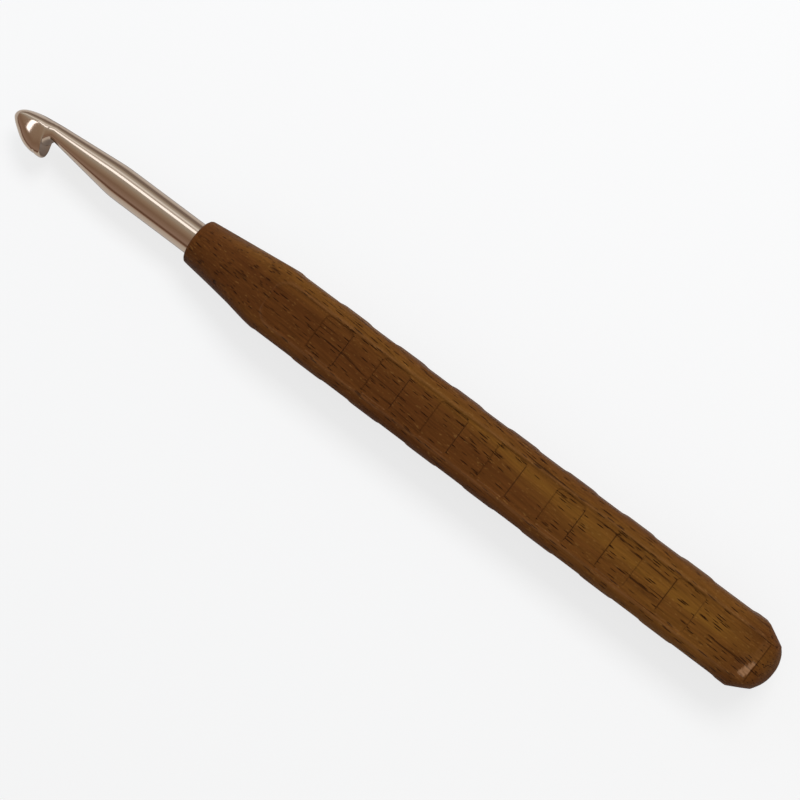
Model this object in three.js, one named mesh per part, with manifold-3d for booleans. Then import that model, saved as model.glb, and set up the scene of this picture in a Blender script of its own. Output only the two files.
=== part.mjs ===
// Crochet hook: a polished metal hook bonded into a square walnut handle with a chequered relief.
// Millimetres. +X runs from the tip of the hook to the butt of the handle, the throat opens
// towards -Y and +Z is up, as the hook lies on a table. The origin is on the table, under the
// middle of the hook.
import * as THREE from "three";
import { mergeVertices } from "three/addons/utils/BufferGeometryUtils.js";
import Module from "manifold-3d";

const wasm = await Module();
wasm.setup();

// Metal hook: its outline in the XY plane, from the tip, with heights from the shank's axis
const exposedLength = 39.4;
const shankDiameter = 6;
const tangDepth = 40;
const tangChamfer = 0.6;
const noseDrop = 1.2; // the nose lies below the axis
const browAt = 3; // the back of the head rises steeply up to here
const browHeight = 1.11;
const browSlope = 0.26;
const crownAt = 5.2; // from here the back runs straight to the neck
const crownHeight = 1.54;
const chinAt = 2; // the front of the head falls steeply up to here
const chinDepth = 3.55;
const chinSlope = 0.6;
const bellyAt = 6; // the lowest line of the head
const bellyDepth = 4.95;
const grooveAt = 6.75; // a faint groove under the head sets off the bead of the lip
const grooveDepth = 0.15;
const headLength = 8.9; // tip to the end of the lip
const lipRadius = 1.1;
const lipUnder = 20; // degrees by which the bead of the lip reaches back under the head
const lipLean = 34; // degrees by which the throat's wall leans back over the throat
const throatFloor = 1.46; // the floor of the throat below the axis
const throatRounding = 0.78; // the wall rounds into the floor over this height
const wallPull = 0.42; // how far that rounding keeps to the line of the wall
const floorPull = 0.69; // and to the line of the floor
const neckBack = 1.93; // the back of the neck above the axis
const taperEnd = 21.9; // where the neck reaches the shank's full diameter
const taperRounding = 1.2;
const headThickness = 5.5;
const fullAt = 6.5; // the head rounds up from the nose to its full thickness over this length
const lipThickness = 5.2;
const neckThickness = 4;

// Bond between the tang and its bore
const bondThickness = 0.15;
const bondRecess = 0.3; // the bond stops this far inside the mouth of the bore
const bondPool = 1; // what gathers past the end of the tang
const seatClearance = 0.02;
const drillPointAngle = 118;

// Wooden handle, from its front rim
const handleLength = 118.1;
const handleWidth = 12.16;
const cornerRadius = 2.6;
const rimDiameter = 8.5;
const rimRounding = 0.5;
const swellLength = 16.8; // rim to the front crest
const crestRounding = 1.9;
const chamferLength = 3.5; // of the butt, on the two side faces
const faceChamferLength = 1.6; // the upper and lower faces run on and round off from here
const chamferDrop = 1.9;
const domeHeight = 1.8;

// Relief: tiles along the four faces, those of the sides half a step on
const panelDepth = 0.2; // the upper and lower tiles lie below the crests
const panelWidth = 8;
const panelCorner = 2.9; // at the round front end of a panel
const panelSlope = 0.5; // width of the sloped rim of a panel
const panelLead = 0.2; // a panel starts in front of the crest
const panelLand = 0.2; // flat left between a panel and the chamfer of the butt
const panelRamp = 1.5; // the floor of a panel rises over this length at the butt
const firstTile = 9.9;
const pocketLength = 5.62;
const pocketPitch = 11.73;
const pocketDepth = 0.2;
const pocketWidth = 7.2;
const pocketCorner = 0.8;
const pocketSlope = 0.15;
const sideLand = 2.4; // flat left between the last side pocket and the chamfer of the butt
const sidePocketDepth = 0.2;
const sidePocketWidth = 9.8;
const sidePocketSlope = 1.5;

// Fineness of the facets
const turnSteps = 32;
const cornerSteps = 6;
const outlineSteps = 4;
const cutterSteps = 2;
const leastFlat = 0.05;
const cutterHeight = 2;

const shankRadius = shankDiameter / 2;
const halfWidth = handleWidth / 2;
const overallLength = exposedLength + handleLength;
const bondInner = shankRadius + seatClearance;
const bondOuter = bondInner + bondThickness;
const boreRadius = bondOuter + seatClearance;
const boreDepth = tangDepth + bondPool + seatClearance;
const drillPointSlope = Math.tan(THREE.MathUtils.degToRad(drillPointAngle / 2));

const point = (x, y) => new THREE.Vector2(x, y);
const line = (from, to) => new THREE.LineCurve(from, to);

// A curve from one point to another that leaves and arrives at the given slopes.
function bend(from, slopeFrom, to, slopeTo) {
  const x = (to.y - from.y + slopeFrom * from.x - slopeTo * to.x) / (slopeFrom - slopeTo);
  return new THREE.QuadraticBezierCurve(from, point(x, from.y + slopeFrom * (x - from.x)), to);
}

// A curve from the upright tip of the nose that arrives at the given slope.
function noseCurve(nose, to, slopeTo) {
  return new THREE.QuadraticBezierCurve(nose, point(nose.x, to.y - slopeTo * to.x), to);
}

// A closed surface through rings of equally many points, with a point at each end.
function loft(startPoint, rings, endPoint) {
  const count = rings[0].length;
  const corners = [startPoint, ...rings.flat(), endPoint];
  const last = corners.length - 1;
  const faces = [];
  for (let i = 0; i < count; i++) {
    const next = (i + 1) % count;
    faces.push(0, 1 + next, 1 + i);
    for (let near = 1; near + count < last; near += count) {
      const far = near + count;
      faces.push(near + i, near + next, far + next, near + i, far + next, far + i);
    }
    faces.push(last, last - count + i, last - count + next);
  }
  const geometry = new THREE.BufferGeometry().setFromPoints(corners);
  geometry.setIndex(faces);
  geometry.computeVertexNormals();
  return geometry;
}

// A profile of radii and places along the axis, turned about X.
function turned(profile) {
  return new THREE.LatheGeometry(profile, turnSteps).rotateZ(-Math.PI / 2);
}

function solidOf(geometry) {
  const bare = geometry.clone();
  bare.deleteAttribute("normal");
  bare.deleteAttribute("uv");
  const merged = mergeVertices(bare, 1e-4);
  const vertProperties = merged.attributes.position.array;
  const triVerts = new Uint32Array(merged.index.array);
  return new wasm.Manifold(new wasm.Mesh({ numProp: 3, vertProperties, triVerts }));
}

function geometryOf(solid) {
  const mesh = solid.getMesh();
  const geometry = new THREE.BufferGeometry();
  geometry.setAttribute("position", new THREE.BufferAttribute(mesh.vertProperties, 3));
  geometry.setIndex(new THREE.BufferAttribute(mesh.triVerts, 1));
  geometry.computeVertexNormals();
  return geometry;
}

// The hook is one bar, made of spans. In each, rings run along a curve of the throat's outline
// and one of the back's, so that they fan round the throat. The thickness across the two goes
// from its first to its second value, or without them along the rounding of the nose. So does
// the ridge: the share of the half depth by which the thickest line lies towards the throat.
function hookSpans() {
  const nose = point(0, -noseDrop);
  const brow = point(browAt, browHeight);
  const chin = point(chinAt, -chinDepth);
  const belly = point(bellyAt, -bellyDepth);

  const neckAt = headLength + seatClearance;
  const neck = point(neckAt, neckBack);
  const crown = point(crownAt, crownHeight);
  const backLine = line(crown, neck);
  const backSlope = (neck.y - crown.y) / (neck.x - crown.x);
  const fan = (from, to) => line(backLine.getPoint(from), backLine.getPoint(to));

  const lean = THREE.MathUtils.degToRad(lipLean);
  const under = -Math.PI / 2 - THREE.MathUtils.degToRad(lipUnder);
  const lipCentre = point(headLength - lipRadius, lipRadius - bellyDepth);
  const lip = new THREE.EllipseCurve(lipCentre.x, lipCentre.y, lipRadius, lipRadius, under, lean);
  const groove = point(grooveAt, grooveDepth - bellyDepth);
  const wallTop = lip.getPoint(1);
  const wallStep = point(-Math.sin(lean), Math.cos(lean));
  const floor = point(neckAt, -throatFloor);
  const wallLength = (floor.y - throatRounding - wallTop.y) / wallStep.y;
  const root = wallTop.clone().addScaledVector(wallStep, wallLength);
  const throatSlope = (throatFloor - shankRadius) / (taperEnd - neckAt);
  const floorStep = point(1, throatSlope);
  const throat = new THREE.CubicBezierCurve(
    root,
    root.clone().addScaledVector(wallStep, wallPull),
    floor.clone().addScaledVector(floorStep, -floorPull),
    floor,
  );

  const bendStart = taperEnd - taperRounding;
  const bendEnd = taperEnd + taperRounding;
  const neckSlope = (shankRadius - neckBack) / (taperEnd - neckAt);
  const lowBend = point(bendStart, floor.y + throatSlope * (bendStart - neckAt));
  const highBend = point(bendStart, neck.y + neckSlope * (bendStart - neckAt));
  const bendThickness = 2 * Math.min(highBend.y, -lowBend.y);
  const low = (x, inset = 0) => point(x, inset - shankRadius);
  const high = (x, inset = 0) => point(x, shankRadius - inset);
  const tangEnd = exposedLength + tangDepth;
  const chamferAt = tangEnd - tangChamfer;

  return [
    {
      steps: 8,
      throat: noseCurve(nose, chin, -chinSlope),
      back: noseCurve(nose, brow, browSlope),
      ridge: [-0.1, -0.15],
    },
    {
      steps: 5,
      throat: bend(chin, -chinSlope, belly, 0),
      back: bend(brow, browSlope, crown, backSlope),
      ridge: [-0.15, -0.25],
    },
    {
      steps: 3,
      throat: new THREE.QuadraticBezierCurve(belly, point((bellyAt + grooveAt) / 2, belly.y), groove),
      back: fan(0, 0.05),
      ridge: [-0.25, -0.27],
    },
    {
      steps: 1,
      throat: line(groove, lip.getPoint(0)),
      back: fan(0.05, 0.1),
      thickness: [headThickness, headThickness],
      ridge: [-0.27, -0.28],
    },
    {
      steps: 8,
      throat: lip,
      back: fan(0.1, 0.24),
      thickness: [headThickness, lipThickness],
      ridge: [-0.28, -0.28],
    },
    {
      steps: 3,
      throat: line(wallTop, root),
      back: fan(0.24, 0.6),
      thickness: [lipThickness, (lipThickness + neckThickness) / 2],
      ridge: [-0.28, -0.1],
    },
    {
      steps: 5,
      throat,
      back: fan(0.6, 1),
      thickness: [(lipThickness + neckThickness) / 2, neckThickness],
      ridge: [-0.1, 0.1],
    },
    {
      steps: 6,
      throat: line(floor, lowBend),
      back: line(neck, highBend),
      thickness: [neckThickness, bendThickness],
      ridge: [0.1, 0.1],
    },
    {
      steps: 4,
      throat: bend(lowBend, throatSlope, low(bendEnd), 0),
      back: bend(highBend, neckSlope, high(bendEnd), 0),
      thickness: [bendThickness, shankDiameter],
      ridge: [0.1, 0],
    },
    {
      steps: 1,
      throat: line(low(bendEnd), low(chamferAt)),
      back: line(high(bendEnd), high(chamferAt)),
      thickness: [shankDiameter, shankDiameter],
      ridge: [0, 0],
    },
    {
      steps: 1,
      throat: line(low(chamferAt), low(tangEnd, tangChamfer)),
      back: line(high(chamferAt), high(tangEnd, tangChamfer)),
      thickness: [shankDiameter, shankDiameter - 2 * tangChamfer],
      ridge: [0, 0],
    },
  ];
}

function hookRing(throat, back, thickness, ridge) {
  const ring = [];
  for (let i = 0; i < turnSteps; i++) {
    const angle = (2 * Math.PI * i) / turnSteps;
    const across = throat.clone().lerp(back, (1 + Math.cos(angle)) / 2);
    const egg = 1 - ridge * Math.cos(angle);
    ring.push(new THREE.Vector3(across.x, across.y, (thickness / 2) * egg * Math.sin(angle)));
  }
  return ring;
}

function hookGeometry() {
  const rings = [];
  for (const { steps, throat, back, thickness, ridge } of hookSpans()) {
    for (let step = 1; step <= steps; step++) {
      const share = step / steps;
      const [low, high] = [throat.getPoint(share), back.getPoint(share)];
      const fromFull = Math.max(0, 1 - (low.x + high.x) / 2 / fullAt);
      const across = thickness
        ? THREE.MathUtils.lerp(...thickness, share)
        : headThickness * Math.sqrt(1 - fromFull ** 2);
      rings.push(hookRing(low, high, across, THREE.MathUtils.lerp(...ridge, share)));
    }
  }
  const tip = new THREE.Vector3(0, -noseDrop, 0);
  const end = new THREE.Vector3(exposedLength + tangDepth, 0, 0);
  return loft(tip, rings, end);
}

// Half of the handle's width and height along its length: rounded rim, swell, crest and body.
// At the butt the side faces are chamfered up to the dome, and the upper and lower faces run on
// further and round straight into it.
function handleOutline() {
  const rimRadius = rimDiameter / 2;
  const swellSlope = (halfWidth - rimRadius) / (swellLength - rimRounding);
  const crestStart = swellLength - crestRounding;
  const domeStart = handleLength - domeHeight;
  const [sideStart, faceStart] = [domeStart - chamferLength, domeStart - faceChamferLength];
  const chamferSlope = chamferDrop / chamferLength;
  const outline = new THREE.Path();
  outline.moveTo(0, rimRadius - rimRounding);
  outline.absarc(rimRounding, rimRadius - rimRounding, rimRounding, Math.PI, Math.PI / 2, true);
  outline.lineTo(crestStart, halfWidth - swellSlope * crestRounding);
  outline.quadraticCurveTo(swellLength, halfWidth, swellLength + crestRounding, halfWidth);
  outline.lineTo(sideStart, halfWidth);
  for (let step = 0; step <= outlineSteps; step++) {
    const x = faceStart + (step / outlineSteps) * faceChamferLength;
    outline.lineTo(x, halfWidth - chamferSlope * (x - sideStart));
  }
  // The dome is the end of an ellipse that leaves the chamfer without a kink
  const domeWidth = halfWidth - chamferDrop;
  const fallen = chamferSlope * domeHeight;
  const turned = fallen / (domeWidth - fallen);
  const along = domeHeight / (1 - turned);
  const across = domeWidth / Math.sqrt(1 - turned ** 2);
  outline.absellipse(handleLength - along, 0, along, across, Math.acos(turned), 0, true);

  return outline.getPoints(outlineSteps).map(({ x, y: width }) => {
    if (x < sideStart + leastFlat) return { x, width, height: width };
    const pastFace = Math.max(0, x - faceStart) / (handleLength - faceStart);
    return { x, width, height: halfWidth * Math.sqrt(Math.max(0, 1 - pastFace ** 2)) };
  });
}

// A rectangle of the given half width and height with rounded corners, square to X.
function handleRing(x, width, height, corner) {
  const ring = [];
  for (let quarter = 0; quarter < 4; quarter++) {
    const middle = Math.PI * (quarter / 2 + 0.25);
    const y = Math.sign(Math.cos(middle)) * (width - corner);
    const z = Math.sign(Math.sin(middle)) * (height - corner);
    for (let step = 0; step <= cornerSteps; step++) {
      const angle = (Math.PI / 2) * (quarter + step / cornerSteps);
      ring.push(new THREE.Vector3(x, y + corner * Math.cos(angle), z + corner * Math.sin(angle)));
    }
  }
  return ring;
}

function handleBody() {
  const rings = [];
  for (const { x, width, height } of handleOutline()) {
    if (width < leastFlat) continue; // the dome's own end point
    const square = THREE.MathUtils.smoothstep(x, rimRounding, swellLength);
    const corner = THREE.MathUtils.lerp(width, cornerRadius, square);
    rings.push(handleRing(x, width, height, Math.min(corner, width - leastFlat, height - leastFlat)));
  }
  return loft(new THREE.Vector3(0, 0, 0), rings, new THREE.Vector3(handleLength, 0, 0));
}

// A cutter for the upper face: a rounded rectangle that starts at a place along the handle and
// narrows by its slope from the top level to the bottom of the cut. With a ramp, the bottom of
// the cut stops that far before its end.
function faceCutter({ start, length, width, frontCorner, endCorner, slope, ramp, top, depth }) {
  const side = width / 2;
  const end = start + length;
  const round = (corner) => Math.min(Math.max(corner, slope + leastFlat), length / 2 - leastFlat);
  const [front, back] = [round(frontCorner), round(endCorner)];
  const outline = new THREE.Shape();
  outline.absarc(end - back, back - side, back, -Math.PI / 2, 0);
  outline.absarc(end - back, side - back, back, 0, Math.PI / 2);
  outline.absarc(start + front, side - front, front, Math.PI / 2, Math.PI);
  outline.absarc(start + front, front - side, front, Math.PI, 1.5 * Math.PI);
  const geometry = new THREE.ExtrudeGeometry(outline, {
    depth: cutterHeight,
    curveSegments: cutterSteps,
    bevelSegments: 1,
    bevelThickness: depth,
    bevelSize: slope,
    bevelOffset: -slope,
  });
  if (ramp) {
    const corners = geometry.attributes.position;
    for (let i = 0; i < corners.count; i++) {
      const onFloor = corners.getZ(i) < 0 && corners.getX(i) > start + length / 2;
      if (onFloor) corners.setX(i, corners.getX(i) + slope - ramp);
    }
  }
  return geometry.translate(0, 0, top);
}

function reliefCutters() {
  const panelStart = swellLength - panelLead;
  const domeStart = handleLength - domeHeight;
  const panelEnd = domeStart - faceChamferLength - panelLand;
  const sideEnd = domeStart - chamferLength - sideLand;
  const firstPocket = panelStart + firstTile;
  const tileLength = pocketPitch - pocketLength;
  // Every pocket has at least a full tile behind it
  const pockets = Math.max(1, Math.floor((sideEnd - firstPocket) / pocketPitch));
  const floorLevel = halfWidth - panelDepth;

  const faces = [
    {
      start: panelStart,
      length: panelEnd - panelStart,
      width: panelWidth,
      frontCorner: panelCorner,
      endCorner: pocketCorner,
      slope: panelSlope,
      ramp: panelRamp,
      top: halfWidth,
      depth: panelDepth,
    },
  ];
  const sides = [];
  const sideShape = {
    width: sidePocketWidth,
    frontCorner: pocketCorner,
    endCorner: pocketCorner,
    slope: sidePocketSlope,
    top: halfWidth,
    depth: sidePocketDepth,
  };
  sides.push({ ...sideShape, start: panelStart, length: firstTile, frontCorner: panelCorner });
  for (let i = 0; i < pockets; i++) {
    const start = firstPocket + i * pocketPitch;
    faces.push({
      start,
      length: pocketLength,
      width: pocketWidth,
      frontCorner: pocketCorner,
      endCorner: pocketCorner,
      slope: pocketSlope,
      top: floorLevel,
      depth: pocketDepth,
    });
    const tileStart = start + pocketLength;
    const lastTile = i === pockets - 1;
    sides.push({ ...sideShape, start: tileStart, length: lastTile ? sideEnd - tileStart : tileLength });
  }

  const cutters = [];
  for (let quarter = 0; quarter < 4; quarter++) {
    for (const cut of quarter % 2 ? sides : faces) {
      cutters.push(faceCutter(cut).rotateX((quarter * Math.PI) / 2));
    }
  }
  return cutters;
}

function boreCutter() {
  return turned([
    point(0, -cutterHeight),
    point(boreRadius, -cutterHeight),
    point(boreRadius, boreDepth),
    point(0, boreDepth + boreRadius / drillPointSlope),
  ]);
}

function handleGeometry() {
  let handle = solidOf(handleBody()).subtract(solidOf(boreCutter()));
  for (const cutter of reliefCutters()) handle = handle.subtract(solidOf(cutter));
  return geometryOf(handle);
}

// The bond lines the bore like a cup, from just inside its mouth to the drill point.
function bondGeometry() {
  const cupFloor = tangDepth + seatClearance;
  const outerEnd = boreDepth - seatClearance;
  return turned([
    point(0, cupFloor),
    point(bondInner, cupFloor),
    point(bondInner, bondRecess),
    point(bondOuter, bondRecess),
    point(bondOuter, outerEnd),
    point(0, outerEnd + bondOuter / drillPointSlope),
  ]);
}

function part(name, geometry, color, metalness, roughness) {
  const material = new THREE.MeshStandardMaterial({ color, metalness, roughness });
  const mesh = new THREE.Mesh(geometry, material);
  mesh.name = name;
  return mesh;
}

// From the front rim: the handle with the bond in its bore
const grip = new THREE.Group();
grip.position.x = exposedLength;
grip.add(part("handle", handleGeometry(), 0x5c3a1a, 0, 0.45));
grip.add(part("adhesive_bond", bondGeometry(), 0xc8b27a, 0, 0.4));

// From the tip, on the axis of the shank, which lies half the handle's width above the table
const crochetHook = new THREE.Group();
crochetHook.position.set(-overallLength / 2, 0, halfWidth);
crochetHook.add(part("metal_hook", hookGeometry(), 0xb8a596, 1, 0.15));
crochetHook.add(grip);

const model = new THREE.Group();
model.add(crochetHook);
export default model;
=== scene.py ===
import math

import bmesh
import bpy
from mathutils import Matrix, Vector


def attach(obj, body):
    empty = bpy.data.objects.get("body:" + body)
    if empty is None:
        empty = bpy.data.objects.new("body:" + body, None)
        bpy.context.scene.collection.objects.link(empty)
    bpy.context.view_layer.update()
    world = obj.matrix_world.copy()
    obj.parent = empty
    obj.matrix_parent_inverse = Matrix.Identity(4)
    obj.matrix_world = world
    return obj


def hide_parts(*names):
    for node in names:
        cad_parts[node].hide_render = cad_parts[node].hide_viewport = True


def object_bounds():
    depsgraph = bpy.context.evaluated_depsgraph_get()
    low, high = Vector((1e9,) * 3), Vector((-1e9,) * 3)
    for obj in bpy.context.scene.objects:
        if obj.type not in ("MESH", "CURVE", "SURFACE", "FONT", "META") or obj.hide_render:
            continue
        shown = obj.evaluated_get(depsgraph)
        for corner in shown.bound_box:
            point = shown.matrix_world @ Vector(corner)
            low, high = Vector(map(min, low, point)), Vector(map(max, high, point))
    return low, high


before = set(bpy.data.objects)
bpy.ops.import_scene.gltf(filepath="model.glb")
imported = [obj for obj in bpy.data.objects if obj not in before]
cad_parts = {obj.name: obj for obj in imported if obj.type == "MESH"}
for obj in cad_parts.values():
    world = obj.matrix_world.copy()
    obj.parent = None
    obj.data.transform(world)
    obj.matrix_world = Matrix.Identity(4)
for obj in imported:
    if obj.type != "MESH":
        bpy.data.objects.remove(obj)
cad_low, cad_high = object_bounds()
bpy.ops.object.select_all(action="DESELECT")

# The camera
# It stands above the hook, a little towards the butt, and is turned so that the hook lies
# across the picture from the upper left to the lower right.
MM = 0.001
CAMERA_AT = Vector((43.11, 15.02, 291.08)) * MM
AIMED_AT = Vector((4.33, -1.01, 6.08)) * MM
CAMERA_TURN = math.radians(36.53)
FOCAL_LENGTH = 78.44
SENSOR_WIDTH = 36
NEAREST = 10  # mm: the camera sees nothing closer

backwards = (CAMERA_AT - AIMED_AT).normalized()
level = Vector((math.cos(CAMERA_TURN), math.sin(CAMERA_TURN), 0))
rightwards = (level - level.dot(backwards) * backwards).normalized()
upwards = backwards.cross(rightwards)
camera_data = bpy.data.cameras.new("camera")
camera_data.lens = FOCAL_LENGTH
camera_data.sensor_width = SENSOR_WIDTH
camera_data.clip_start = NEAREST * MM
camera = bpy.data.objects.new("camera", camera_data)
camera.matrix_world = Matrix((rightwards, upwards, backwards)).transposed().to_4x4()
camera.location = CAMERA_AT
bpy.context.scene.collection.objects.link(camera)
bpy.context.scene.camera = camera
bpy.context.scene.view_settings.view_transform = "Standard"

# The white studio
# A pale sweep of floor under soft light. It looks white to the camera and still takes the hook's
# own soft shadow. To polished metal it looks white too, with warm painted shade right under the
# hook and behind it.


def linear(code):
    """An sRGB hex colour as the linear colour that the nodes take."""
    channels = [int(code[i : i + 2], 16) / 255 for i in (1, 3, 5)]
    return [c / 12.92 if c < 0.04045 else ((c + 0.055) / 1.055) ** 2.4 for c in channels] + [1]


def material(name):
    """A material whose tree of nodes is still empty."""
    made = bpy.data.materials.new(name)
    made.use_nodes = True
    made.node_tree.nodes.clear()
    return made


def node(tree, kind, settings=None, **inputs):
    """Adds a node. An input is a value, a socket to link it to, or a node to link it to, which
    gives its first output."""
    made = tree.nodes.new("ShaderNode" + kind)
    for name, value in (settings or {}).items():
        setattr(made, name, value)
    for name, value in inputs.items():
        key = int(name[1:]) if name[0] == "i" and name[1:].isdigit() else name.replace("_", " ")
        value = value.outputs[0] if isinstance(value, bpy.types.Node) else value
        if isinstance(value, bpy.types.NodeSocket):
            tree.links.new(value, made.inputs[key])
        else:
            made.inputs[key].default_value = value
    return made


FLOOR_SIZE = 6  # metres
WHITE, FLOOR_WHITE = "#ffffff", "#f2f2f2"
FLOOR_GLOW, FLOOR_SHARE = 0.74, 0.178  # what the camera sees: own light, and share of the lamps
MIRROR_GLOW, MIRROR_SHARE = 0.3, 0.49  # what a polished surface sees, under two shades:
SHEET_EDGE, SHEET_FALL, SHEET_SHADE = 14, 26, 0.52  # mm behind the hook, and the share that is left
UNDER_EDGE, UNDER_FALL, UNDER_SHADE = 4, 8, 0.62  # the same right under the hook
PAST_TIP = -77  # where that shade ends, in mm along the hook
SHADE_TONE = "#a47559"  # both shades are warm

bpy.ops.mesh.primitive_plane_add(size=FLOOR_SIZE)
floor = bpy.context.object
floor.name = "floor"
floor_paint = material("matt_white_paint")
tree = floor_paint.node_tree
rays = node(tree, "LightPath").outputs
gloss = rays["Is Glossy Ray"]
straight = node(tree, "Math", {"operation": "MAXIMUM"}, i0=rays["Is Camera Ray"],
                i1=rays["Is Transmission Ray"])
seen = node(tree, "Math", {"operation": "MAXIMUM"}, i0=straight, i1=gloss)
place = node(tree, "TexCoord").outputs["Object"]
spot = node(tree, "SeparateXYZ", Vector=place).outputs
sheet = node(tree, "MapRange", Value=spot["Y"], From_Min=SHEET_EDGE * MM, From_Max=SHEET_FALL * MM,
             To_Min=1.0, To_Max=SHEET_SHADE)
from_axis = node(tree, "Math", {"operation": "ABSOLUTE"}, i0=spot["Y"])
past_tip = node(tree, "MapRange", Value=spot["X"], From_Min=PAST_TIP * MM,
                From_Max=(PAST_TIP - UNDER_EDGE) * MM, To_Max=UNDER_FALL * MM)
off_hook = node(tree, "Math", {"operation": "ADD"}, i0=from_axis, i1=past_tip)
under = node(tree, "MapRange", Value=off_hook, From_Min=UNDER_EDGE * MM, From_Max=UNDER_FALL * MM,
             To_Min=UNDER_SHADE)
left = node(tree, "Math", {"operation": "MULTIPLY"}, i0=sheet, i1=under)
mirror_glow = node(tree, "Math", {"operation": "MULTIPLY"}, i0=left, i1=MIRROR_GLOW)
mirror_share = node(tree, "Math", {"operation": "MULTIPLY"}, i0=left, i1=MIRROR_SHARE)
glow = node(tree, "Mix", i0=gloss, i2=FLOOR_GLOW, i3=mirror_glow)
share = node(tree, "Mix", i0=gloss, i2=FLOOR_SHARE, i3=mirror_share)
warmed = node(tree, "Mix", {"data_type": "RGBA"}, i0=left, i6=linear(SHADE_TONE), i7=linear(WHITE))
tone = node(tree, "Mix", {"data_type": "RGBA"}, i0=gloss, i6=linear(WHITE), i7=warmed.outputs[2])
lit = node(tree, "Emission", Color=tone.outputs[2], Strength=glow)
dim = node(tree, "VectorMath", {"operation": "SCALE"}, i0=tone.outputs[2], Scale=share)
dimmed = node(tree, "BsdfDiffuse", Color=dim)
shown = node(tree, "AddShader", i0=dimmed, i1=lit)
matt = node(tree, "BsdfDiffuse", Color=linear(FLOOR_WHITE))
both = node(tree, "MixShader", i0=seen, i1=matt, i2=shown)
node(tree, "OutputMaterial", Surface=both)
floor.data.materials.append(floor_paint)

# The room: to the camera as pale as the far end of the floor. What it gives the metal to mirror
# is cool daylight behind the hook, a warm dim room before it and a dark line of horizon on both
# sides, which is what makes a polished bar read as round. The stops go from the horizon before
# the hook, over the zenith, to the one behind it: degrees, colour and strength.
ROOM_LIGHT = 0.5
FAR_WHITE = "#ebebeb"
ROOM = ((-88, "#d8c8c0", 1), (-80, "#7c604f", 1), (-72, "#7c604f", 1), (-62, "#b5a299", 1),
        (-26, "#a08a7a", 1), (0, "#bbad9f", 1), (20, "#cbccc8", 1), (48, "#d8dde0", 1),
        (56, "#e6ebf0", 1.4), (62, "#e8f4ff", 1.9), (66, "#e8f0f8", 1.1), (78, "#d0cec9", 1),
        (90, "#a79e94", 1))
world = bpy.data.worlds.new("studio")
bpy.context.scene.world = world
world.use_nodes = True
tree = world.node_tree
tree.nodes.clear()
rays = node(tree, "LightPath").outputs
way = node(tree, "SeparateXYZ", Vector=node(tree, "TexCoord").outputs["Generated"]).outputs
lean = node(tree, "Math", {"operation": "ARCTAN2"}, i0=way["Y"], i1=way["Z"])
turned = node(tree, "MapRange", Value=lean, From_Min=-math.pi / 2, From_Max=math.pi / 2)
around = node(tree, "ValToRGB", Fac=turned)
ramp = around.color_ramp
for number, (degrees, colour, strength) in enumerate(ROOM):
    stop = ramp.elements[number] if number < 2 else ramp.elements.new(1.0)
    stop.position = 0.5 + degrees / 180
    stop.color = [c * strength for c in linear(colour)]
room = node(tree, "Background", Color=around, Strength=1.0)
soft = node(tree, "Background", Color=linear(WHITE), Strength=ROOM_LIGHT)
far = node(tree, "Background", Color=linear(FAR_WHITE), Strength=1.0)
mirrored = node(tree, "MixShader", i0=rays["Is Glossy Ray"], i1=soft, i2=room)
straight = node(tree, "Math", {"operation": "MAXIMUM"}, i0=rays["Is Camera Ray"],
                i1=rays["Is Transmission Ray"])
sky = node(tree, "MixShader", i0=straight, i1=mirrored, i2=far)
node(tree, "OutputWorld", Surface=sky)


def softbox(name, at, aim, size, power, tint=WHITE):
    """A rectangular soft light at a place in mm, aimed at another."""
    data = bpy.data.lights.new(name, "AREA")
    data.shape = "RECTANGLE"
    data.size, data.size_y = size[0] * MM, size[1] * MM
    data.energy = power
    data.color = linear(tint)[:3]
    lamp = bpy.data.objects.new(name, data)
    lamp.location = Vector(at) * MM
    lamp.rotation_euler = (Vector(aim) - Vector(at)).to_track_quat("-Z", "Y").to_euler()
    bpy.context.scene.collection.objects.link(lamp)
    return lamp


# A high key behind the hook gives the relief its light. A long box draws the line along the
# shank, and a window to the left lights the nose.
COOL = "#dceaff"
key = softbox("key", at=(20, 270, 420), aim=(10, 0, 0), size=(240, 160), power=1.6)
key.visible_glossy = False
softbox("long_box", at=(-235, 232, 300), aim=(-235, 232, 0), size=(390, 125), power=0.36, tint=COOL)
softbox("window", at=(-306, 5, 222), aim=(-75, -1, 6), size=(140, 50), power=0.09, tint=COOL)

# The metal hook
# One bar of aluminium, turned and formed: a rounded nose, a head that stands out towards the
# throat, a lip set off by a small notch, a neck, and a round shank that runs on into the handle,
# where it is bonded. It is polished bright. Places are mm from its tip and from its axis.
TIP, AXIS = cad_low[0] / MM, cad_high[2] / MM / 2
EXPOSED, TANG, SHANK_RADIUS = 39.4, 40.0, 3.0
NOSE = Vector((0, -1.35))
BROW, BROW_SLOPE = Vector((3, 1.05)), 0.26
CROWN = Vector((5.2, 1.51))
CHIN, CHIN_SLOPE = Vector((2.73, -3.67)), -0.635
BELLY = Vector((6.73, -4.89))
NOTCH_AT, NOTCH_HALF, NOTCH_DEPTH, NOTCH_FROM = 7.05, 0.26, 0.28, 0.85  # only at the lowest line
LIP_END, LIP_RADIUS, LIP_LEAN = 8.33, 0.51, math.radians(29)
HEAD_THICKNESS, FULL_AT, GROWTH = 5.5, 7.33, 0.634  # the nose rounds up to the full thickness
LIP_THICKNESS, WALL_THICKNESS, ROOT_THICKNESS, NECK_THICKNESS = 5.46, 5.42, 5.15, 4.5
NECK_AT, THROAT_FLOOR, THROAT_ROUNDING, FLOOR_PULL = 8.4, 1.16, 1.53, 0.3
NECK_BACK, TAPER_END, TAPER_ROUNDING = 1.88, 21.9, 1.2
SECTION_POINTS = 32
ROUND, BLUFF, EDGED, EASED = 2, 2.6, 4, 3  # how square a section is on the throat's side
CAGE_SWELL = 1.0065  # a cage stands this much outside its rounded surface


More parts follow.
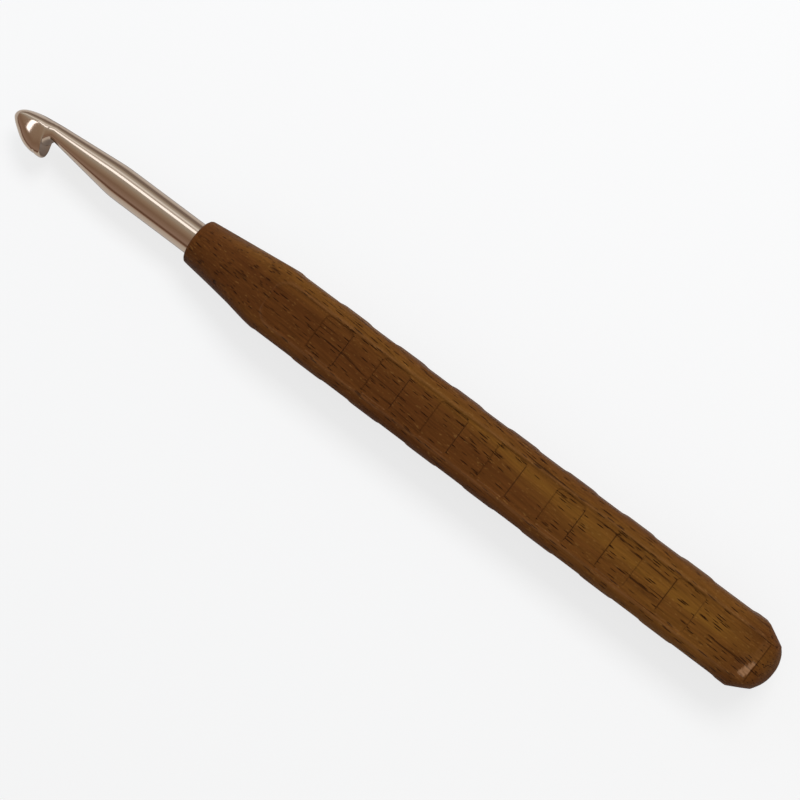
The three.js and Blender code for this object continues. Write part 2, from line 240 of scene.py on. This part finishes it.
def along(*points):
    """A Bezier curve through two to four control points, as a function of its share."""
    def at(t):
        row = list(points)
        while len(row) > 1:
            row = [a.lerp(b, t) for a, b in zip(row, row[1:])]
        return row[0]
    return at


def bend(start, slope, end, end_slope):
    """A curve that leaves one point and arrives at another at the given slopes."""
    x = (end.y - start.y + slope * start.x - end_slope * end.x) / (slope - end_slope)
    return along(start, Vector((x, start.y + slope * (x - start.x))), end)


def between(ends, share):
    return ends[0] + (ends[1] - ends[0]) * share


neck = Vector((NECK_AT, NECK_BACK))
back_slope = (neck.y - CROWN.y) / (neck.x - CROWN.x)
lip_centre = Vector((LIP_END - LIP_RADIUS, BELLY.y + LIP_RADIUS))


def lip(t):
    """The rounding of the lip, from the belly to the wall of the throat."""
    angle = -math.pi / 2 + t * (math.pi / 2 + LIP_LEAN)
    return lip_centre + LIP_RADIUS * Vector((math.cos(angle), math.sin(angle)))


def fan(first, last):
    """A share of the straight back from the crown to the neck."""
    return along(CROWN.lerp(neck, first), CROWN.lerp(neck, last))


wall_step = Vector((-math.sin(LIP_LEAN), math.cos(LIP_LEAN)))
floor_at = Vector((NECK_AT, -THROAT_FLOOR))
wall_top = lip(1)
root = wall_top + wall_step * ((floor_at.y - THROAT_ROUNDING - wall_top.y) / wall_step.y)
throat_slope = (THROAT_FLOOR - SHANK_RADIUS) / (TAPER_END - NECK_AT)
neck_slope = (SHANK_RADIUS - NECK_BACK) / (TAPER_END - NECK_AT)
bend_from, bend_to = TAPER_END - TAPER_ROUNDING, TAPER_END + TAPER_ROUNDING
low_bend = Vector((bend_from, floor_at.y + throat_slope * (bend_from - NECK_AT)))
high_bend = Vector((bend_from, neck.y + neck_slope * (bend_from - NECK_AT)))
bend_depth = 2 * min(high_bend.y, -low_bend.y)
low, high = Vector((bend_to, -SHANK_RADIUS)), Vector((bend_to, SHANK_RADIUS))
tang_end = EXPOSED + TANG
nose_low = along(NOSE, Vector((0, CHIN.y - CHIN_SLOPE * CHIN.x)), CHIN)
nose_high = along(NOSE, Vector((0, BROW.y - BROW_SLOPE * BROW.x)), BROW)
throat = along(root, root, floor_at - Vector((1, throat_slope)) * FLOOR_PULL, floor_at)
# Each span: steps, curve of the throat side, curve of the back, and at its two ends its
# thickness, the place of its thickest line from throat to back, and how square the section is
# on the throat's side. Without a thickness, the span follows the rounding of the nose.
SPANS = (
    (9, nose_low, nose_high, None, (0.6, 0.66), (BLUFF, BLUFF)),
    (7, bend(CHIN, CHIN_SLOPE, BELLY, 0), bend(BROW, BROW_SLOPE, CROWN, back_slope), None,
     (0.66, 0.72), (BLUFF, EDGED)),
    (8, along(BELLY, lip(0)), fan(0, 0.1), None, (0.72, 0.72), (EDGED, EASED)),
    (10, lip, fan(0.1, 0.24), (LIP_THICKNESS, WALL_THICKNESS), (0.72, 0.68), (EASED, EASED)),
    (5, along(wall_top, root), fan(0.24, 0.6), (WALL_THICKNESS, ROOT_THICKNESS), (0.68, 0.56),
     (EASED, EASED)),
    (8, throat, fan(0.6, 1), (ROOT_THICKNESS, NECK_THICKNESS), (0.56, 0.38), (EASED, EASED)),
    (14, along(floor_at, low_bend), along(neck, high_bend), (NECK_THICKNESS, bend_depth),
     (0.38, 0.48), (EASED, ROUND)),
    (4, bend(low_bend, throat_slope, low, 0), bend(high_bend, neck_slope, high, 0),
     (bend_depth, 2 * SHANK_RADIUS), (0.48, 0.5), (ROUND, ROUND)),
    (56, along(low, Vector((tang_end, -SHANK_RADIUS))), along(high, Vector((tang_end, SHANK_RADIUS))),
     (2 * SHANK_RADIUS,) * 2, (0.5, 0.5), (ROUND, ROUND)),
)

# The section changes at every step, so the rings are worked out one by one and skinned as a
# cage, which a subdivision surface then rounds without a flat.
corners = [Vector((TIP, NOSE.y, AXIS))]
for steps, throat_side, back_side, thickness, crest_at, throat_square in SPANS:
    for step in range(1, steps + 1):
        share = step / steps
        below, above = throat_side(share), back_side(share)
        middle = (below + above) / 2
        if thickness:
            depth = between(thickness, share)
        else:
            depth = HEAD_THICKNESS * (1 - max(0, 1 - middle.x / FULL_AT) ** 2) ** GROWTH
        crest = below.lerp(above, between(crest_at, share))
        for k in range(SECTION_POINTS):
            turn = 2 * math.pi * k / SECTION_POINTS
            square = ROUND if math.cos(turn) > 0 else between(throat_square, share)
            over = math.copysign(abs(math.cos(turn)) ** (2 / square), math.cos(turn))
            up = math.copysign(abs(math.sin(turn)) ** (2 / square), math.sin(turn))
            across = crest + (above - crest if over > 0 else crest - below) * over * CAGE_SWELL
            notched = max(0, 1 - abs(across.x - NOTCH_AT) / NOTCH_HALF)
            lowest = max(0, (-over - NOTCH_FROM) / (1 - NOTCH_FROM))
            across.y += NOTCH_DEPTH * notched * lowest
            corners.append(Vector((TIP + across.x, across.y, AXIS + depth / 2 * up * CAGE_SWELL)))
corners.append(Vector((TIP + tang_end, 0, AXIS)))
faces = []
rings = (len(corners) - 2) // SECTION_POINTS
last = 1 + (rings - 1) * SECTION_POINTS
for k in range(SECTION_POINTS):
    after = (k + 1) % SECTION_POINTS
    faces.append((0, 1 + after, 1 + k))
    for near in range(1, last, SECTION_POINTS):
        far = near + SECTION_POINTS
        faces.append((near + k, near + after, far + after, far + k))
    faces.append((len(corners) - 1, last + k, last + after))
hook_mesh = bpy.data.meshes.new("polished_hook")
hook_mesh.from_pydata([c * MM for c in corners], [], faces)
hook = bpy.data.objects.new("polished_hook", hook_mesh)
bpy.context.scene.collection.objects.link(hook)
bpy.context.view_layer.objects.active = hook
hook.select_set(True)
bpy.ops.object.mode_set(mode="EDIT")
bpy.ops.mesh.select_all(action="SELECT")
bpy.ops.mesh.normals_make_consistent(inside=False)
bpy.ops.object.mode_set(mode="OBJECT")
rounded = hook.modifiers.new("rounded", "SUBSURF")
rounded.levels = rounded.render_levels = 2
bpy.ops.object.modifier_apply(modifier="rounded")
bpy.ops.object.shade_smooth()

# Aluminium, polished bright: a warm, slightly pink mirror with faint lines left along the bar
# by the last polishing, some 0.05 mm apart, drawn at 0.12 mm so that they show.
METAL = "#b6a18d"
POLISH_LINE, POLISH_RUN = 0.12, 20  # mm across, and so many times longer along the bar
polished = material("polished_aluminium")
tree = polished.node_tree
place = node(tree, "TexCoord").outputs["Object"]
stretch = node(tree, "Mapping", Vector=place, Scale=(1 / POLISH_RUN, 1, 1))
lines = node(tree, "TexNoise", Vector=stretch, Scale=1 / (POLISH_LINE * MM), Detail=2.0, Roughness=0.5)
spread = node(tree, "MapRange", Value=lines, To_Min=0.08, To_Max=0.14)
surface = node(tree, "BsdfPrincipled", Base_Color=linear(METAL), Metallic=1.0, Roughness=spread)
node(tree, "OutputMaterial", Surface=surface)
hook.data.materials.append(polished)
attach(hook, "root")
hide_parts("metal_hook")

# The wooden handle
# One piece of walnut, bored for the hook, turned to a round rim in front and planed square
# behind, where a neck swells into it. Shallow tiles are cut along its four faces, raised and
# sunk in turn, and the butt is chamfered and slightly domed. It is oiled and keeps its pores.
RIM = TIP + EXPOSED  # places along the handle are mm from here
HALF_WIDTH, CORNER_RADIUS, CORNER_STEPS = cad_high[1] / MM, 2.6, 8
RIM_RADIUS, RIM_ROUNDING, SWELL, CREST_ROUNDING = 4.25, 0.5, 16.8, 1.9
HANDLE = cad_high[0] / MM - RIM
DOME, CHAMFER, FACE_CHAMFER, CHAMFER_DROP = 1.8, 3.5, 1.6, 1.9
BORE_RADIUS, BORE_DEPTH, BORE_POINT, MOUTH_ROUNDING = 3.21, 41.02, 1.93, 0.14
EDGE = 0.2  # by this much the edges of the butt are broken
NEARLY = 0.01  # places closer than this are the same
POLE, POLE_SHORT = 0.05, 0.005  # a last ring this small is merged to a point, just before the end
CREST_START, CREST_END = SWELL - CREST_ROUNDING, SWELL + CREST_ROUNDING
DOME_START = HANDLE - DOME
SIDE_START, FACE_START = DOME_START - CHAMFER, DOME_START - FACE_CHAMFER
PANEL_MARGIN, SIDE_MARGIN = 0.2, 1.5
PANEL_START, PANEL_END = SWELL - PANEL_MARGIN, FACE_START - PANEL_MARGIN
PANEL_DEPTH, PANEL_SIDE, PANEL_CORNER, PANEL_SLOPE, PANEL_RAMP = 0.2, 4.0, 2.9, 0.5, 1.3
RAMP_SLANT, RAMP_MIDDLE = 0.8, 1.0  # the ramp is longer on one half of the panel
FIRST_TILE, POCKET, PITCH, POCKETS = 9.9, 5.62, 11.73, 7
POCKET_DEPTH, POCKET_SIDE, POCKET_CORNER, POCKET_SLOPE = 0.2, 3.6, 0.8, 0.15
SIDE_DEPTH, SIDE_SLOPE, SIDE_LEAD, SIDE_END = 0.2, 1.5, 1.2, SIDE_START - SIDE_MARGIN

pockets = [PANEL_START + FIRST_TILE + n * PITCH for n in range(POCKETS)]
sunk_from = [PANEL_START] + [x + POCKET - SIDE_LEAD for x in pockets]
sunk_sides = list(zip(sunk_from, pockets + [SIDE_END]))


def choose(test):
    """Selects the corners of the piece in edit mode whose place in the handle passes a test."""
    net = bmesh.from_edit_mesh(bpy.context.object.data)
    for corner in net.verts:
        corner.select = test(corner.co.x / MM - RIM, corner.co.y / MM, corner.co.z / MM - AXIS)
    net.select_flush_mode()


def pull(x, wide, tall, rounding=0):
    """Extrudes the chosen ring to a new place along the handle, rounds it off by a share and
    scales it about the axis to a new half width and half height."""
    net = bpy.context.object.data
    ring = [v.co for v in bmesh.from_edit_mesh(net).verts if v.select]
    step = (RIM + x) * MM - ring[0].x
    bpy.ops.mesh.extrude_edges_move(TRANSFORM_OT_translate={"value": (step, 0, 0)})
    if rounding:
        bpy.ops.transform.tosphere(value=rounding)
    ring = [v.co for v in bmesh.from_edit_mesh(net).verts if v.select]
    scale = (1, wide * MM / max(abs(c.y) for c in ring),
             tall * MM / max(abs(c.z - AXIS * MM) for c in ring))
    bpy.ops.transform.resize(value=scale, center_override=((RIM + x) * MM, 0, AXIS * MM))


def cut(axis, places):
    """Cuts the piece in edit mode square to an axis of the handle at places along it."""
    normal = [float(axis == k) for k in range(3)]
    for place in places:
        bpy.ops.mesh.select_all(action="SELECT")
        at = Vector((RIM, 0, AXIS)) + Vector(normal) * place
        bpy.ops.mesh.bisect(plane_co=at * MM, plane_no=normal)


# The squared length comes first: a cube drawn out, its four long edges rounded, its ends
# opened, and lines cut into it wherever the relief turns.
FACE_LINES = (0.6, 1.2, 1.8, 2.4, 2.8, 3.1, 3.3, 3.45, 3.6, 3.75, 3.88, 4)  # mm from the middle
SIDE_LINES = (-1.6, 0, 1.6)
PANEL_LINES = (2.5, 2.9, 3.3, 3.7)  # mm behind the round start of a panel
OUTER_LINES = (0.06, 0.3, 0.6, 0.9, 1.2, 1.5)  # mm before and behind each pocket
INNER_LINES = (POCKET_SLOPE / 2, 0.21, 0.35, 0.6, 0.9, 1.2)  # mm inside its two ends
SIDE_END_LINES = (1.5, 1.2, 0.9, 0.6, 0.3, 0)  # mm before the sides' last slope ends
base_end = SIDE_START - EDGE
base_middle = RIM + (CREST_END + base_end) / 2
bpy.ops.object.select_all(action="DESELECT")
bpy.ops.mesh.primitive_cube_add(size=1, location=(base_middle * MM, 0, AXIS * MM))
handle = bpy.context.object
handle.name = "walnut_handle"
handle.scale = Vector((base_end - CREST_END, 2 * HALF_WIDTH, 2 * HALF_WIDTH)) * MM
bpy.ops.object.transform_apply(location=True, rotation=True, scale=True)
bpy.ops.object.mode_set(mode="EDIT")
bpy.ops.mesh.select_all(action="DESELECT")
net = bmesh.from_edit_mesh(handle.data)
for edge in net.edges:
    edge.select = abs(edge.verts[0].co.x - edge.verts[1].co.x) > MM
bpy.ops.mesh.bevel(offset=CORNER_RADIUS * MM, segments=CORNER_STEPS, clamp_overlap=False)
bpy.ops.mesh.select_all(action="DESELECT")
net = bmesh.from_edit_mesh(handle.data)
for face in net.faces:
    face.select = len(face.verts) > 4
bpy.ops.mesh.delete(type="FACE")
for y in FACE_LINES:
    cut(1, (-y, y))
cut(2, SIDE_LINES)
cut(1, [0])
stations = {PANEL_START + d for d in PANEL_LINES} | {SIDE_END - d for d in SIDE_END_LINES}
for x in pockets:
    for side, edge in ((-1, x), (1, x + POCKET)):
        stations |= {edge + side * d for d in OUTER_LINES} | {edge - side * d for d in INNER_LINES}
cut(0, sorted(x for x in stations if CREST_END < x < base_end))

# The neck: from the crest the ring is drawn forward, made round step by step, and turned over
# the rim into the bore. Its rings lie closest where the crest is rounded.
NECK_RINGS = (18.35, 18, 17.7, 17.4, 17.1, 16.9, 16.75, 16.6, 16.3, 15.9, 15.4, 14.9, 14, 13, 12, 11,
              10, 9, 8, 7, 6, 5, 4, 3, 2, 1.2, RIM_ROUNDING)
RIM_TURNS = (22.5, 45, 67.5, 90)
swell_slope = (HALF_WIDTH - RIM_RADIUS) / (SWELL - RIM_ROUNDING)


def eased(share):
    """A share that leaves 0 and arrives at 1 gently."""
    share = min(1, max(0, share))
    return share * share * (3 - 2 * share)


def squareness(x):
    return eased((x - RIM_ROUNDING) / (SWELL - RIM_ROUNDING))


def neck_radius(x):
    if x < CREST_START:
        return RIM_RADIUS + swell_slope * (x - RIM_ROUNDING)
    return HALF_WIDTH - swell_slope * (CREST_END - x) ** 2 / (4 * CREST_ROUNDING)


choose(lambda x, y, z: abs(x - CREST_END) < NEARLY)
before = CREST_END
for x in NECK_RINGS:
    pull(x, neck_radius(x), neck_radius(x), 1 - squareness(x) / squareness(before))
    before = x
for degrees in RIM_TURNS:
    turn = math.radians(degrees)
    radius = RIM_RADIUS - RIM_ROUNDING * (1 - math.cos(turn))
    pull(RIM_ROUNDING * (1 - math.sin(turn)), radius, radius, 1)
for x, radius in ((0, BORE_RADIUS + MOUTH_ROUNDING),
                  (MOUTH_ROUNDING / 3, BORE_RADIUS + MOUTH_ROUNDING / 3),
                  (MOUTH_ROUNDING, BORE_RADIUS), (BORE_DEPTH, BORE_RADIUS),
                  (BORE_DEPTH + BORE_POINT, POLE)):
    pull(x, radius, radius)
bpy.ops.mesh.merge(type="CENTER")

# The butt: drawn back over the chamfers of the sides and the dome, which is the end of an
# ellipse that leaves them without a kink. The upper and lower faces round straight into it.
CHAMFER_RINGS = (SIDE_START, SIDE_START + EDGE, 113.1, 113.4, 113.7, 114, 114.25, 114.4, PANEL_END,
                 FACE_START, 115, 115.3, 115.6, 115.9, DOME_START)
DOME_RINGS = (1.45, 1.1, 0.8, 0.55, 0.35, 0.2, 0.1, 0.04, 0.015)  # mm before the end
DOME_EASE = 0.2  # by this share each of them is made round
choose(lambda x, y, z: abs(x - base_end) < NEARLY)
chamfer_slope = CHAMFER_DROP / CHAMFER
dome_width = HALF_WIDTH - CHAMFER_DROP
turned_share = chamfer_slope * DOME / (dome_width - chamfer_slope * DOME)
dome_along = DOME / (1 - turned_share)
dome_across = dome_width / math.sqrt(1 - turned_share**2)


def butt_width(x):
    if x < DOME_START:
        return min(HALF_WIDTH - EDGE / 8, HALF_WIDTH - chamfer_slope * (x - SIDE_START))
    return dome_across * math.sqrt(1 - ((x - HANDLE + dome_along) / dome_along) ** 2)


def butt_height(x):
    return HALF_WIDTH * math.sqrt(1 - (max(0, x - FACE_START) / (HANDLE - FACE_START)) ** 2)


for x in CHAMFER_RINGS:
    pull(x, butt_width(x), butt_height(x))
for x in [HANDLE - back for back in DOME_RINGS]:
    pull(x, butt_width(x), butt_height(x), DOME_EASE)
pull(HANDLE - POLE_SHORT, POLE, POLE)
bpy.ops.mesh.merge(type="CENTER")
bpy.ops.mesh.select_all(action="SELECT")
bpy.ops.mesh.normals_make_consistent(inside=False)
bpy.ops.object.mode_set(mode="OBJECT")


def inside(x, y, start, end, side, corner):
    """How deep a place lies inside a rectangle with rounded corners, in mm."""
    inner_x = max(start + corner - x, x - end + corner, 0)
    inner_y = max(abs(y) - side + corner, 0)
    if inner_x and inner_y:
        return corner - math.hypot(inner_x, inner_y)
    return min(x - start, end - x, side - abs(y))


# The relief: every corner that stands above the floor of its tile is lowered to it. Where its
# edges are, the wood is told how much paler it is, up to 1, for rubbed edges and painted
# highlights, or how much darker, down to -1, for painted shade.
SKIN = 0.1  # mm under the tile's floor: what lies deeper belongs to the side faces
RIM_WORN, RIM_REACH = 0.1, 0.3  # along the panel's edge, and so many mm to each side
# A painted highlight along the long edge of a pocket on its low side, and painted shade along the
# other.
LOW_EDGE, HIGH_EDGE = 0.25, -0.3  # the long edges of a pocket, on the low side and the other
# Painted shade on a pocket's two short walls, heavier on one of them.
DARK_WALL, PALE_WALL = -1, -0.45  # its two short walls
WALLS_SWAP = 75  # mm along the handle: before, the rear wall is the dark one, and then the front one
# The ramp at a panel's end: a line of painted shade at its end, a painted highlight on a slanting
# patch, and the rest slightly paler.
RAMP_END, RAMP_PATCH, RAMP_REST = -0.9, 0.7, 0.04
END_LINE = 0.05  # mm of ramp that its dark end takes
PATCH_START, PATCH_END = 0.35, 3.2  # mm across the ramp, from the handle's middle line
PATCH_LEAN, PATCH_LENGTH, PATCH_SPREAD = 0.1, 0.6, 0.25  # the patch is a painted highlight, and slants
wear_and_painted_light = handle.data.attributes.new("wear_and_painted_light", "FLOAT", "POINT")
for number, corner in enumerate(handle.data.vertices):
    x, y, z = corner.co.x / MM - RIM, corner.co.y / MM, corner.co.z / MM - AXIS
    if not PANEL_START <= x <= PANEL_END + NEARLY:
        continue
    # The low side is the half of a panel towards the throat above, and away from it below
    low_side = -y * math.copysign(1, z)
    rise = inside(x, y, PANEL_START, HANDLE, PANEL_SIDE, PANEL_CORNER)
    ramp_length = PANEL_RAMP + RAMP_SLANT * eased((RAMP_MIDDLE + low_side) / RAMP_MIDDLE)
    back = PANEL_END - x
    depth = PANEL_DEPTH * eased(rise / PANEL_SLOPE) * eased(back / ramp_length)
    worn_lit_and_shaded = RIM_WORN * max(0, 1 - abs(rise) / RIM_REACH)
    for start in pockets:
        deep = inside(x, y, start, start + POCKET, POCKET_SIDE, POCKET_CORNER)
        depth += POCKET_DEPTH * min(1, max(0, deep / POCKET_SLOPE))
        if -NEARLY < deep < POCKET_SLOPE + NEARLY:
            line = 1 - abs(2 * deep / POCKET_SLOPE - 1)
            if POCKET_SIDE - abs(y) < POCKET_SLOPE + NEARLY:
                worn_lit_and_shaded = line * (LOW_EDGE if low_side > 0 else HIGH_EDGE)
            else:
                in_dark = (x > start + POCKET / 2) == (start < WALLS_SWAP)
                worn_lit_and_shaded = line * (DARK_WALL if in_dark else PALE_WALL)
    if rise > 0 and back < END_LINE:
        worn_lit_and_shaded = RAMP_END
    elif rise > 0 and back < ramp_length:
        along_patch = back - PATCH_LEAN * low_side
        in_highlight = 0 < along_patch < PATCH_LENGTH + PATCH_SPREAD * low_side
        worn_lit_and_shaded = RAMP_PATCH if in_highlight and PATCH_START < low_side < PATCH_END else RAMP_REST
    side_depth = 0
    for start, end in sunk_sides:
        side_depth += SIDE_DEPTH * eased(min(x - start, end - x) / SIDE_SLOPE)
    on_face = abs(z) > HALF_WIDTH - depth - SKIN
    wear_and_painted_light.data[number].value = worn_lit_and_shaded if on_face else 0
    y = math.copysign(min(abs(y), HALF_WIDTH - side_depth), y)
    z = math.copysign(min(abs(z), HALF_WIDTH - depth), z)
    corner.co.y, corner.co.z = y * MM, (AXIS + z) * MM
bpy.ops.object.shade_smooth_by_angle(angle=math.radians(38))

# Walnut, planed, oiled and rubbed: matt brown heartwood whose grain runs along the handle, sways
# and drifts by three degrees. It carries figure some 2.5 mm apart, a golden streak on the side
# away from the throat that fades towards the butt, fine fibres, dark veins and pale flecks. Real
# pores are 0.05 to 0.2 mm wide. They are drawn 0.12 to 0.23 mm wide and 1.4 to 2.6 mm long, so
# that they show. Sizes are mm along the grain, across it and in depth.
GRAIN_DRIFT = math.radians(3.07)
SWAY_LENGTHS, SWAY = (30, 9, 9), 2.4
FIGURE, FIBRE, VEIN, FLECK = (60, 2.4, 3), (5, 0.28, 0.32), (20, 0.4, 0.6), (0.9, 0.3, 0.3)
PORE_CROWD, PORE_PITCH = (22, 2.5, 3), (3.4, 0.3, 0.3)
PORE_SMALL, PORE_LARGE, PORE_CORE = 0.2, 0.38, 0.65  # half lengths in pitches, and the dark share
STREAK_MIDDLE, STREAK_HALF, STREAK_END = 4.9, 3.9, 60
PALER_FROM, PALER_TO, BUTT_FROM, BUTT_TO = 8, 62, 67, 73  # the wood turns paler, and back
STREAK_TONE, PALER_TONE, FIGURE_TONE = 0.5, 0.4, 0.32  # what each adds to the tone
STREAK_LEFT, PALER_LEFT = 0.3, 0.4  # the share left at the end
WOOD_DARK, WOOD_BROWN, WOOD_TAN, WOOD_GOLD = "#46250e", "#533013", "#623e17", "#76501c"
# The pores' brown also colours painted shade, and the worn tan also colours painted highlights.
PORE_AND_SHADE_BROWN, FLECK_TAN, WORN_AND_HIGHLIT_TAN = "#241005", "#8a6434", "#a9805e"
GLOSS_TINT = "#e8b080"
RUB_DEPTH = 0.08

walnut = material("oiled_walnut")
tree = walnut.node_tree
place = node(tree, "TexCoord").outputs["Object"]
grain = node(tree, "Mapping", Vector=place, Rotation=(0, 0, GRAIN_DRIFT), Scale=(1 / MM,) * 3)
sway = node(tree, "Mapping", Vector=grain, Scale=[1 / length for length in SWAY_LENGTHS])
swaying = node(tree, "TexNoise", Vector=sway, Scale=1.0, Detail=1.0).outputs["Color"]
centred = node(tree, "VectorMath", {"operation": "SUBTRACT"}, i0=swaying, i1=(0.5, 0.5, 0.5))
swayed = node(tree, "VectorMath", {"operation": "MULTIPLY_ADD"}, i0=centred, i1=(0, SWAY, SWAY),
              i2=grain)


def streaks(lengths, detail, shift=0):
    """Noise drawn out along the grain, with features of the given lengths in mm."""
    drawn = node(tree, "Mapping", Vector=swayed, Location=(shift,) * 3,
                 Scale=[1 / length for length in lengths])
    return node(tree, "TexNoise", Vector=drawn, Scale=1.0, Detail=detail, Roughness=0.55)


spot = node(tree, "SeparateXYZ", Vector=swayed).outputs
off_streak = node(tree, "Math", {"operation": "SUBTRACT"}, i0=spot["Y"], i1=STREAK_MIDDLE)
from_streak = node(tree, "Math", {"operation": "ABSOLUTE"}, i0=off_streak)
golden = node(tree, "MapRange", Value=from_streak, From_Max=STREAK_HALF, To_Min=STREAK_TONE,
              To_Max=0.0)
faded = node(tree, "MapRange", Value=spot["X"], From_Max=STREAK_END, To_Min=1.0,
              To_Max=STREAK_LEFT)
streak = node(tree, "Math", {"operation": "MULTIPLY"}, i0=golden, i1=faded)
paler = node(tree, "MapRange", Value=spot["X"], From_Min=PALER_FROM, From_Max=PALER_TO,
             To_Max=PALER_TONE)
at_butt = node(tree, "MapRange", Value=spot["X"], From_Min=BUTT_FROM, From_Max=BUTT_TO, To_Min=1.0,
               To_Max=PALER_LEFT)
pale = node(tree, "Math", {"operation": "MULTIPLY"}, i0=paler, i1=at_butt)
figure = node(tree, "MapRange", Value=streaks(FIGURE, 3), From_Min=0.3, From_Max=0.7,
              To_Max=FIGURE_TONE)
tone = node(tree, "Math", {"operation": "ADD"}, i0=streak, i1=pale)
tone = node(tree, "Math", {"operation": "ADD"}, i0=tone, i1=figure)
heartwood = node(tree, "ValToRGB", Fac=tone)
ramp = heartwood.color_ramp
ramp.elements[0].color = linear(WOOD_DARK)
ramp.elements[1].color = linear(WOOD_GOLD)
for stop, colour in ((0.3, WOOD_BROWN), (0.65, WOOD_TAN)):
    ramp.elements.new(stop).color = linear(colour)
fibre = streaks(FIBRE, 2, shift=3)
shade = node(tree, "MapRange", Value=fibre, From_Min=0.3, From_Max=0.7, To_Min=0.8, To_Max=1.17)
fibred = node(tree, "VectorMath", {"operation": "SCALE"}, i0=heartwood, Scale=shade)
flecked = node(tree, "MapRange", Value=streaks(FLECK, 1, shift=23), From_Min=0.64, From_Max=0.76,
               To_Max=0.3)
fleck = node(tree, "Mix", {"data_type": "RGBA"}, i0=flecked, i6=fibred, i7=linear(FLECK_TAN))

# A pore fills the middle of its cell, where the cell has one at all
crowd = node(tree, "MapRange", Value=streaks(PORE_CROWD, 1, shift=7), From_Min=0.35, From_Max=0.65,
             To_Min=0.64, To_Max=0.1)
celled = node(tree, "Mapping", Vector=swayed, Scale=[1 / length for length in PORE_PITCH])
cells = node(tree, "TexVoronoi", Vector=celled, Scale=1.0, Randomness=1.0).outputs
chance = node(tree, "SeparateXYZ", Vector=cells["Color"]).outputs
there = node(tree, "Math", {"operation": "GREATER_THAN"}, i0=chance["X"], i1=crowd)
reach = node(tree, "MapRange", Value=chance["Y"], To_Min=PORE_SMALL, To_Max=PORE_LARGE)
within = node(tree, "Math", {"operation": "DIVIDE"}, i0=cells["Distance"], i1=reach)
hollow = node(tree, "MapRange", Value=within, From_Min=PORE_CORE, To_Min=1.0, To_Max=0.0)
pore = node(tree, "Math", {"operation": "MULTIPLY"}, i0=hollow, i1=there)
vein = node(tree, "MapRange", Value=streaks(VEIN, 2, shift=17), From_Min=0.64, From_Max=0.72,
            To_Max=0.8)
dark = node(tree, "Math", {"operation": "MAXIMUM"}, i0=pore, i1=vein)
pored = node(tree, "Mix", {"data_type": "RGBA"}, i0=dark, i6=fleck.outputs[2], i7=linear(PORE_AND_SHADE_BROWN))

# Painted shade lies along the walls of the relief and at the end of the ramp. Painted highlights
# and rubbed edges show paler wood, the more so on hard fibres.
told = node(tree, "Attribute", {"attribute_name": "wear_and_painted_light"}).outputs["Fac"]
painted_shade_mask = node(tree, "MapRange", Value=told, From_Max=-1.0, To_Max=0.8)
painted_shade_colour = node(tree, "Mix", {"data_type": "RGBA"}, i0=painted_shade_mask, i6=pored.outputs[2], i7=linear(PORE_AND_SHADE_BROWN))
hard = node(tree, "MapRange", Value=fibre, From_Min=0.35, From_Max=0.65, To_Min=0.45, To_Max=0.85)
highlight_and_wear = node(tree, "MapRange", Value=told)
highlight_and_wear_on_fibre = node(tree, "Math", {"operation": "MULTIPLY"}, i0=highlight_and_wear, i1=hard)
worn_lit_and_shaded = node(tree, "Mix", {"data_type": "RGBA"}, i0=highlight_and_wear_on_fibre, i6=painted_shade_colour.outputs[2], i7=linear(WORN_AND_HIGHLIT_TAN))
raised = node(tree, "Math", {"operation": "MULTIPLY"}, i0=fibre, i1=0.5)
relief = node(tree, "Math", {"operation": "SUBTRACT"}, i0=raised, i1=dark)
rubbed = node(tree, "Bump", Strength=0.7, Distance=RUB_DEPTH * MM, Height=relief)
surface = node(tree, "BsdfPrincipled", Base_Color=worn_lit_and_shaded.outputs[2], Roughness=0.62,
               Specular_IOR_Level=0.1, Specular_Tint=linear(GLOSS_TINT), Normal=rubbed)
node(tree, "OutputMaterial", Surface=surface)
handle.data.materials.append(walnut)
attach(handle, "root")
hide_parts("handle")

# The adhesive bond
# A cup of glue between the tang and its bore, seen only as a thin ring deep in the mouth. The
# CAD's own solid is right and only gets its look.

# Cured adhesive: glossy clear amber with paler clouds some 1.2 mm across, where it was stirred,
# and a skin that sank unevenly over them.
CLOUD, SINK = 1.2, 0.03
AMBER, AMBER_PALE = "#a88648", "#c8ad72"
cured = material("cured_amber_adhesive")
tree = cured.node_tree
place = node(tree, "TexCoord").outputs["Object"]
clouds = node(tree, "TexNoise", Vector=place, Scale=1 / (CLOUD * MM), Detail=2.0)
cloudy = node(tree, "MapRange", Value=clouds, From_Min=0.35, From_Max=0.65)
amber = node(tree, "Mix", {"data_type": "RGBA"}, i0=cloudy, i6=linear(AMBER), i7=linear(AMBER_PALE))
sunk = node(tree, "Bump", Strength=0.5, Distance=SINK * MM, Height=clouds)
surface = node(tree, "BsdfPrincipled", Base_Color=amber.outputs[2], Roughness=0.2, Normal=sunk)
node(tree, "OutputMaterial", Surface=surface)
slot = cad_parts["adhesive_bond"].material_slots[0]
slot.link = "OBJECT"
slot.material = cured
